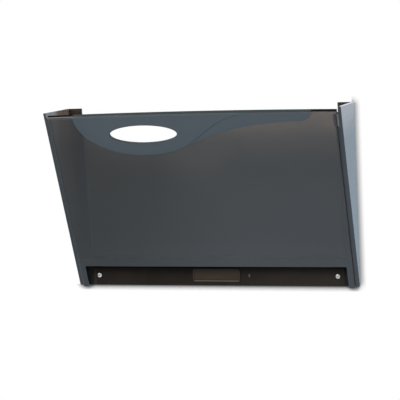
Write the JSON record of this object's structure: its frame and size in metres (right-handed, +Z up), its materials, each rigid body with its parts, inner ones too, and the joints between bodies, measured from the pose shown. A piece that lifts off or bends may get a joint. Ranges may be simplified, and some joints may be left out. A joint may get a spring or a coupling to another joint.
{
  "type": "wall-mounted document pocket",
  "caption": "Wall-hung pocket for papers and folders: a leaning smoke-tinted front panel with a hand hole and matt relief, on wedge-shaped side walls and a screwed back rail.",
  "frame": {"origin": "on the wall, at the back face of the back rail, midway between the two screws", "axes": "+Y out of the back into the wall, so the room is at -Y; +Z up; +X along the wall, to the right as the front is seen"},
  "size_m": [0.33, 0.0967, 0.211],
  "materials": {
    "front_panel": "polished smoke-tinted plastic with a matt raised relief",
    "side_wall": "polished smoke-tinted plastic",
    "pocket_floor": "polished smoke-tinted plastic",
    "back_rail": "satin dark brown plastic",
    "name_plate": "satin, with a raised frame and a bare face",
    "wall_screw": "zinc-plated steel",
    "corner_clip": "satin grey plastic"
  },
  "bodies": {
    "root": {"front_panel": "front_panel", "left_side_wall": "side_wall", "right_side_wall": "side_wall", "pocket_floor": "pocket_floor", "back_rail": "back_rail", "name_plate": "name_plate", "left_wall_screw": "wall_screw", "right_wall_screw": "wall_screw", "corner_clip": "corner_clip"}
  },
  "joints": []
}
